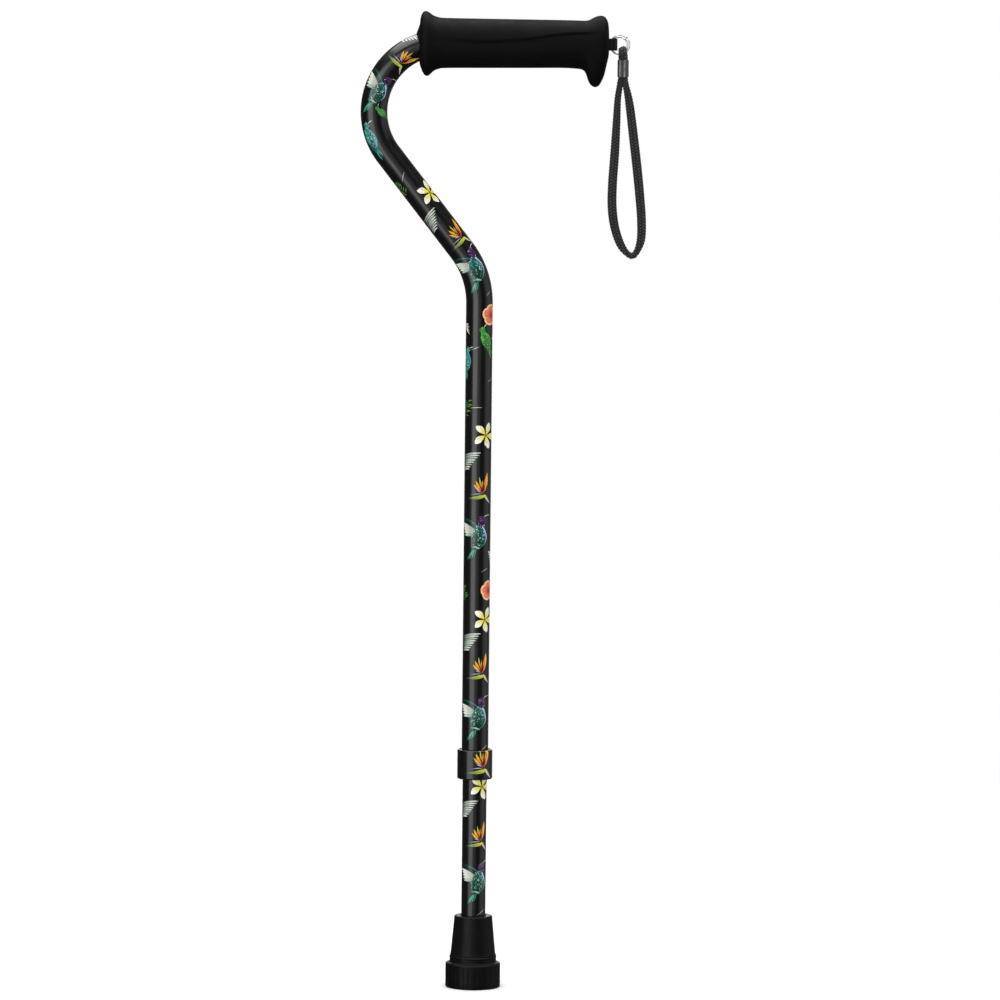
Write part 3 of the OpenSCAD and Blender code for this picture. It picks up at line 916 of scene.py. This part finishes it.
def make_collar():
    """The locking collar: a printed barrel with rounded edges, a bore for the thread and a lip below."""
    radius = collar_high.x
    low_z, length = collar_low.z, collar_high.z - collar_low.z
    edge = 0.0012
    columns = 72

    def on_barrel(along, angle):
        inset = np.maximum(0, np.maximum(edge - along, along - (length - edge)))
        lean = np.arcsin(np.clip(inset / edge, 0, 1))
        r = radius - edge + edge * np.cos(lean)
        rise = np.where(along < length / 2, -1, 1) * np.sin(lean)
        x, y = np.sin(angle), -np.cos(angle)
        points = np.stack((r * x, r * y, low_z + along), axis=1)
        return points, np.stack((x * np.cos(lean), y * np.cos(lean), rise), axis=1)

    skin = Skin()
    low_rows = [edge / MM * (1 - math.cos(math.radians(a))) for a in range(0, 90, 15)]
    high_rows = [length / MM - v for v in low_rows[::-1]]
    rows = low_rows + row_heights([(edge / MM, (length - edge) / MM, 1.6)]) + high_rows
    shapes = lay_out(AROUND_COLLAR, radius, 5)
    add_print(skin, on_barrel, radius, length / MM, rows, columns, shapes)
    turn = SEAM + turns(columns)
    out = np.stack((np.sin(turn), -np.cos(turn), np.zeros(columns)), axis=1)
    up = np.tile((0, 0, 1.0), (columns, 1))

    def circle(r, z):
        return r * out + np.array((0, 0, z))

    top_z = low_z + length
    lip_z = low_z + COLLAR_LIP
    # down the inside, from the barrel's top edge to its bottom edge
    corners = [
        (radius - edge, top_z),
        (COLLAR_BORE_R, top_z),
        (COLLAR_BORE_R, lip_z),
        (COLLAR_LIP_R, lip_z),
        (COLLAR_LIP_R, low_z),
        (radius - edge, low_z),
    ]
    for start, end, facing in zip(corners, corners[1:], (up, -out, up, -out, -up)):
        add_rows(skin, [circle(*start), circle(*end)], [facing, facing], 1)
    piece = skin.build("locking_collar_printed")
    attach(piece, "collar")
    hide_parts("locking_collar")
    return piece


# ---------------- grip
# x, top, bottom and half width of the grip, in millimetres from the handle's axis
GRIP_STATIONS = [
    (-51.4, 15.5, -17.6, 14.2),
    (-51.2, 18.6, -18.6, 15.6),
    (-50.4, 22.3, -20.6, 17),
    (-49, 25, -24.2, 18.4),
    (-46.9, 26.1, -26.9, 19.2),
    (-44.6, 25.5, -27.3, 19.3),
    (-42.2, 23.9, -25.6, 18.9),
    (-39.6, 22.3, -23.2, 18.5),
    (-36, 21.2, -21.7, 18.2),
    (-30, 20.6, -20.8, 18),
    (0, 20.3, -20.4, 18.1),
    (40, 20, -20, 18.1),
    (66, 19.8, -19.7, 17.9),
    (79, 19.6, -20.3, 17.6),
    (83.6, 19.5, -21.4, 17.5),
    (86, 19.6, -24.6, 17.4),
    (87.6, 19.9, -29.4, 17.3),
    (89.6, 20.8, -33, 17.3),
    (92.2, 22.2, -34.9, 17.3),
    (94.6, 23.2, -35.1, 17.3),
    (97.2, 23.7, -33.4, 17.2),
    (99.4, 23.6, -29.4, 17),
    (101.2, 22.6, -24.8, 16.6),
    (102.6, 20.9, -18.6, 15.6),
    (103.8, 18.2, -13.2, 13.6),
    (104.5, 13.6, -9.8, 10.6),
    (104.75, 9, -7.6, 7.6),
]
# x and height of the moulded crease on each side of the grip, in millimetres
GRIP_CREASE = [
    (-40, 3.2),
    (-26, 2.4),
    (-10, 1),
    (6, 0.6),
    (28, 2.2),
    (44, 4),
    (60, 6.9),
    (78, 8.6),
    (98, 9),
]


def make_grip():
    """The moulded grip: an oval bar with flared ends, a finger rest and a crease along each side."""
    around, steps = 112, 8
    last = len(GRIP_STATIONS) - 1
    stations = catmull(GRIP_STATIONS, np.linspace(0, last, steps * last + 1))
    angle = turns(around)
    squareness = 2 / 2.25
    crease_depth = 0.9
    rings = []
    crease_x, crease_z = np.array(GRIP_CREASE).T
    first_x, last_x = GRIP_STATIONS[0][0], GRIP_STATIONS[-1][0]
    for x, top, bottom, half in stations:
        # a row of points follows the crease along each side
        crease = float(np.interp(x, crease_x, crease_z))
        lift = math.asin(min(crease / top, 0.8) ** (1 / squareness))
        lift *= float(np.clip(min((x - first_x) / 10, (last_x - x) / 6), 0, 1))
        turned = angle + lift * np.cos(angle)
        c, s = np.cos(turned), np.sin(turned)
        y = half * np.sign(c) * np.abs(c) ** squareness
        z = np.where(s > 0, top, -bottom) * np.sign(s) * np.abs(s) ** squareness
        ends = np.clip(min((x - crease_x[0]) / 40, (crease_x[-1] - x) / 14), 0, 1)
        above = z - crease
        step = np.where(above > 0.1, np.exp(-above / 9), -np.exp(np.minimum(above, 0) / 6))
        side = np.abs(c) ** 0.5 * np.sign(c)
        y = y + ends * crease_depth * step * side
        rings.append(np.stack((np.full(around, x), y, z + HANDLE_Z / MM), axis=1) * MM)
    recess = [
        np.stack((np.full(around, x), w * np.cos(angle), HANDLE_Z + h * np.sin(angle)), axis=1)
        for x, w, h in (
            (grip_high.x + 0.0001, 0.0064, 0.0066),
            (grip_high.x - 0.0004, 0.0056, 0.0060),
            (grip_high.x - 0.0025, 0.0054, 0.0058),
        )
    ]
    piece = loft("grip", tube_bore(angle)[::-1] + rings + recess)
    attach(piece, "upper")
    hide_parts("handle_grip")
    return piece


def tube_bore(angle):
    """Rings of the grip's bore round the upper tube, from the grip's bend end inwards."""
    clearance, rim, past_end = 0.0002, 0.0008, 0.0012
    place = on_crook(TUBE_R + clearance)
    distances = np.linspace(crook_reach(grip_low.x + rim), crook_reach(TUBE_END_X) + past_end, 26)
    # half a turn on, to start where the outer rings start
    return [place(np.full(len(angle), along), angle + math.pi)[0] for along in distances]


# ---------------- rubber tip
def arc(r, z, radius, start, end, steps=6):
    """Points of an arc round (r, z), between two angles in degrees."""
    points = []
    for k in range(steps + 1):
        x, y = polar(radius, start + (end - start) * k / steps)
        points.append((r + x, z + y))
    return points


def make_tip():
    """The rubber tip: a ribbed foot, a rounded bead and a long cone that grips the lower tube."""
    foot = tip_high.x / MM
    top = tip_high.z / MM
    bore = STEM_R / MM + 0.05
    groove = [(-0.3, 0), (0, 0.25), (0.4, 1.5), (3.2, 1.5), (3.6, 0.25), (3.9, 0)]
    profile = [(0.01, 9.0), (0.01, 0.6), (1.2, 0.0)]
    for inner in (5, 11.4, 17.8):
        profile += [(inner + x, z) for x, z in groove]
    profile += arc(foot - 1.3, 1.3, 1.3, -90, 0)
    profile += [(foot, 6), (foot, 12), (foot, 18.6)]
    profile += arc(foot - 1.6, 19.0, 1.6, 0, 80)
    profile += [(20.4, 20.9), (19.7, 21.2), (19.25, 21.9)]
    profile += arc(18.7, 23.0, 0.75, -20, 20, 4)
    profile += arc(18.75, 25.2, 0.95, -60, 60, 8)
    profile += [(19.0, 26.4)]
    profile += arc(18.35, 27.1, 0.8, -40, 50, 5)
    profile += [(18.62, 28.6), (18.5, 30.0)]
    cone = [(18.5, 30.0), (15.85, top - 1.8)]
    profile += [tuple(p) for p in np.linspace(cone[0], cone[1], 13)[1:-1]]
    profile += arc(15.85 - 1.2, top - 1.2, 1.2, 0, 90)
    profile += [(11.6, top), (10.5, top - 0.3), (bore, top - 1.0), (bore, 9.0)]

    def panels(angle, r, z):
        # shallow upright flutes moulded round the foot
        share = max(0.0, 1 - abs(z - 10 * MM) / (8.5 * MM)) if r > 22 * MM else 0.0
        return r - 0.00045 * min(1, share * 2) * (0.5 - 0.5 * math.cos(24 * angle)) ** 6

    piece = lathe("rubber_tip_moulded", [(r * MM, z * MM) for r, z in profile], 192, panels)
    sharpen(piece, 50)
    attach(piece, "lower")
    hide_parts("rubber_tip")
    return piece


# ---------------- materials
class Paint:
    """The nodes of a material, or of a world, built up one at a time."""

    def __init__(self, name, kind=bpy.data.materials, shader="Principled BSDF"):
        self.owner = kind.new(name)
        self.owner.use_nodes = True
        self.tree = self.owner.node_tree
        self.shader = self.tree.nodes[shader]

    def set(self, **values):
        for key, value in values.items():
            self.shader.inputs[key.replace("_", " ")].default_value = value
        return self

    def node(self, kind, **inputs):
        node = self.tree.nodes.new("ShaderNode" + kind)
        for key, value in inputs.items():
            self.feed(node, key.replace("_", " "), value)
        return node

    def feed(self, node, key, value):
        if isinstance(value, bpy.types.NodeSocket):
            self.tree.links.new(value, node.inputs[key])
        else:
            node.inputs[key].default_value = value

    def object_place(self):
        return self.node("TexCoord").outputs["Object"]

    def noise(self, scale, detail, roughness=0.5):
        place = self.object_place()
        noise = self.node("TexNoise", Vector=place, Scale=scale, Detail=detail, Roughness=roughness)
        return noise.outputs["Fac"]

    def ramp(self, value, first, last, low=0.0, high=1.0):
        """A node that maps values from first to last to the range from low to high."""
        return self.node("MapRange", Value=value, From_Min=first, From_Max=last, To_Min=low, To_Max=high)

    def spread(self, noise, low, high):
        """Noise, whose values keep near its middle, spread over this range."""
        return self.ramp(noise, 0.3, 0.7, low, high).outputs["Result"]

    def mix(self, share, low, high):
        """A mixed colour. The Mix node's colour sockets are found by number: their names repeat."""
        node = self.node("Mix")
        node.data_type = "RGBA"
        for key, value in ((0, share), (6, low), (7, high)):
            self.feed(node, key, value)
        return node.outputs[2]

    def bump(self, height, distance, strength):
        node = self.node("Bump", Height=height, Distance=distance, Strength=strength)
        self.tree.links.new(node.outputs["Normal"], self.shader.inputs["Normal"])
        return self

    def colour(self, value):
        self.feed(self.shader, "Base Color", value)

    def rough(self, noise, low, high):
        self.feed(self.shader, "Roughness", self.spread(noise, low, high))

    def mottled(self, noise, low, high):
        """Colours the surface from low to high with the noise."""
        self.colour(self.mix(self.spread(noise, 0, 1), low, high))


def grey(value):
    return (value, value, value, 1.0)


def printed_finish(name):
    """Film print under clear lacquer: the drawn colours, a little orange peel and faint dust."""
    paint = Paint(name).set(Coat_Weight=0.35, Coat_Roughness=0.15, Specular_IOR_Level=0.42)
    drawn = paint.node("Attribute")
    drawn.attribute_name = "print_colour"
    grain = paint.spread(paint.noise(900, 2), 0.9, 1.06)
    tone = paint.node("VectorMath")
    tone.operation = "SCALE"
    paint.feed(tone, 0, drawn.outputs["Color"])
    paint.feed(tone, "Scale", grain)
    paint.colour(tone.outputs["Vector"])
    paint.rough(paint.noise(60, 4), 0.26, 0.34)
    return paint.bump(paint.noise(420, 2), 0.00002, 0.25).owner


def bare_metal(name, tone, roughness):
    """Metal with faint brushing and smears."""
    paint = Paint(name).set(Metallic=1.0)
    paint.mottled(paint.noise(240, 4), grey(tone * 0.82), grey(tone))
    paint.rough(paint.noise(500, 4), roughness * 0.8, roughness * 1.25)
    return paint.bump(paint.noise(1600, 3), 0.00001, 0.3).owner


def soft_touch(name):
    """Rubbery paint over the grip: very dark and matt, with fine grain and faint handling marks."""
    paint = Paint(name).set(Specular_IOR_Level=0.08)
    paint.mottled(paint.noise(26, 5, 0.6), (0.0021, 0.0021, 0.0023, 1), (0.0033, 0.0033, 0.0036, 1))
    paint.rough(paint.noise(90, 5, 0.6), 0.5, 0.66)
    return paint.bump(paint.noise(2600, 3), 0.00004, 0.35).owner


def moulded_rubber(name):
    """Black rubber, a little dusty."""
    paint = Paint(name).set(Specular_IOR_Level=0.15)
    paint.mottled(paint.noise(70, 5, 0.6), (0.0024, 0.0024, 0.0025, 1), (0.0042, 0.0042, 0.0043, 1))
    paint.rough(paint.noise(160, 5), 0.36, 0.5)
    return paint.bump(paint.noise(1500, 4), 0.00003, 0.3).owner


def moulded_plastic(name, low, high, roughness):
    """Plastic that varies between two colours."""
    paint = Paint(name).set(Specular_IOR_Level=0.25)
    paint.mottled(paint.noise(180, 4), low, high)
    paint.rough(paint.noise(300, 4), roughness * 0.85, roughness * 1.15)
    return paint.bump(paint.noise(1800, 3), 0.00002, 0.3).owner


def braid_finish_with_painted_shade(name):
    """Charcoal polyester with fine fibres and lighter strand tops, with painted shade darkening the gaps
    between strands.
    """
    paint = Paint(name).set(Sheen_Weight=0.25, Sheen_Roughness=0.45, Specular_IOR_Level=0.3)
    height = paint.node("Attribute")
    height.attribute_name = "braid"
    fibres = paint.noise(3600, 3, 0.6)
    top = paint.mix(paint.spread(fibres, 0, 1), (0.009, 0.011, 0.010, 1), (0.100, 0.115, 0.105, 1))
    # painted shade: the braid height turns the gaps between strands near black, and only the strand tops
    # keep the lighter colour
    unshaded_share = paint.ramp(height.outputs["Fac"], 0.5, 1.0)
    paint.colour(paint.mix(unshaded_share.outputs["Result"], (0.0015, 0.0015, 0.0016, 1), top))
    paint.rough(fibres, 0.6, 0.85)
    return paint.bump(fibres, 0.00008, 0.5).owner


# ---------------- stage and light
def make_stage():
    """A round pale floor that fades into the backdrop colour."""
    reach, solid = 1.9, 0.5
    steps, rings = 96, 12
    points = [(0, 0, 0)]
    for i in range(1, rings + 1):
        points += [(*polar(reach * i / rings, 360 * k / steps), 0) for k in range(steps)]
    faces = [(0, 1 + k, 1 + (k + 1) % steps) for k in range(steps)]
    for i in range(rings - 1):
        faces += ring_faces(1 + (i + 1) * steps, 1 + i * steps, steps)
    floor = link_mesh("floor", points, faces)
    floor.visible_glossy = False
    paint = Paint("floor_finish").set(Roughness=0.9, Specular_IOR_Level=0.1)
    paint.mottled(paint.noise(3, 2), grey(0.86), grey(0.88))
    distance = paint.node("VectorMath")
    distance.operation = "LENGTH"
    paint.feed(distance, 0, paint.object_place())
    edge = paint.ramp(distance.outputs["Value"], solid, reach * 0.97, 1.0, 0.0)
    edge.interpolation_type = "SMOOTHSTEP"
    paint.feed(paint.shader, "Alpha", edge.outputs["Result"])
    floor.data.materials.append(paint.owner)


def make_world():
    """A white backdrop for the camera, which lights the object only faintly."""
    seen_by_camera, seen_by_object = 1.0, 0.06
    ground = Paint("studio", bpy.data.worlds, "Background").set(Color=(1, 1, 1, 1))
    to_camera = ground.node("LightPath").outputs["Is Camera Ray"]
    level = ground.ramp(to_camera, 0, 1, seen_by_object, seen_by_camera)
    ground.feed(ground.shader, "Strength", level.outputs["Result"])
    bpy.context.scene.world = ground.owner


def area_light(name, location, wide, tall, radiance):
    """A soft light of this radiance, which faces down until it is turned."""
    data = bpy.data.lights.new(name, "AREA")
    data.shape = "RECTANGLE"
    data.size, data.size_y = wide, tall
    data.energy = radiance * math.pi * wide * tall
    light = bpy.data.objects.new(name, data)
    light.location = location
    light.visible_camera = False
    bpy.context.scene.collection.objects.link(light)
    return light


def softbox(name, azimuth, distance, height, wide, tall, radiance):
    """A softbox that faces the object. Azimuth is degrees round from the front, to the right."""
    x, y = polar(distance, azimuth - 90)
    light = area_light(name, (x, y, height), wide, tall, radiance)
    aim = Vector((0, 0, min(height, 0.5))) - Vector((x, y, height))
    light.rotation_euler = aim.to_track_quat("-Z", "Y").to_euler()


make_stage()
make_world()
softbox("front_left", -32, 3.0, 0.7, 2.2, 2.6, 2.6)
softbox("front", 3, 3.0, 0.7, 1.3, 2.6, 0.45)
softbox("right", 85, 2.6, 0.7, 2.6, 2.4, 0.6)
softbox("right_back", 145, 2.8, 0.7, 2.2, 2.4, 0.16)
softbox("back", 180, 3.0, 0.8, 1.0, 2.4, 2.4)
area_light("top", (0, 0, 3.0), 4.0, 4.0, 3.4)

bpy.context.scene.view_settings.view_transform = "Standard"

# ---------------- pieces and their finishes
cord = make_cord()
upper_tube = make_upper_tube()
lower_tube = make_lower_tube()
collar = make_collar()
grip = make_grip()
tip = make_tip()

lacquered_print = printed_finish("lacquered_print")
tube_metal = bare_metal("tube_metal", 0.6, 0.35)
dark_plastic = moulded_plastic("dark_plastic", grey(0.004), grey(0.007), 0.38)

for piece in (upper_tube, lower_tube):
    piece.data.materials.append(lacquered_print)
    piece.data.materials.append(tube_metal)
collar.data.materials.append(lacquered_print)
collar.data.materials.append(dark_plastic)
cord.data.materials.append(braid_finish_with_painted_shade("braided_polyester"))
grip.data.materials.append(soft_touch("soft_touch_paint"))
tip.data.materials.append(moulded_rubber("tip_rubber"))

CAD_FINISHES = {
    "handle_end_plug": dark_plastic,
    "thread_sleeve": dark_plastic,
    "silencer_bush": moulded_plastic("white_nylon", (0.6, 0.6, 0.55, 1), (0.7, 0.7, 0.65, 1), 0.45),
    "glide_sleeve": moulded_plastic("natural_nylon", (0.62, 0.61, 0.55, 1), (0.72, 0.71, 0.66, 1), 0.42),
    "snap_spring": bare_metal("spring_steel", 0.5, 0.3),
    "tip_washer": bare_metal("zinc_plate", 0.55, 0.4),
    "snap_button": bare_metal("nickel", 0.72, 0.18),
    "strap_ring": bare_metal("bright_chrome", 0.85, 0.1),
    "strap_crimp": bare_metal("satin_crimp", 0.18, 0.5),
}
for name, finish in CAD_FINISHES.items():
    mesh = nodes[name].data
    mesh.materials.clear()
    mesh.materials.append(finish)
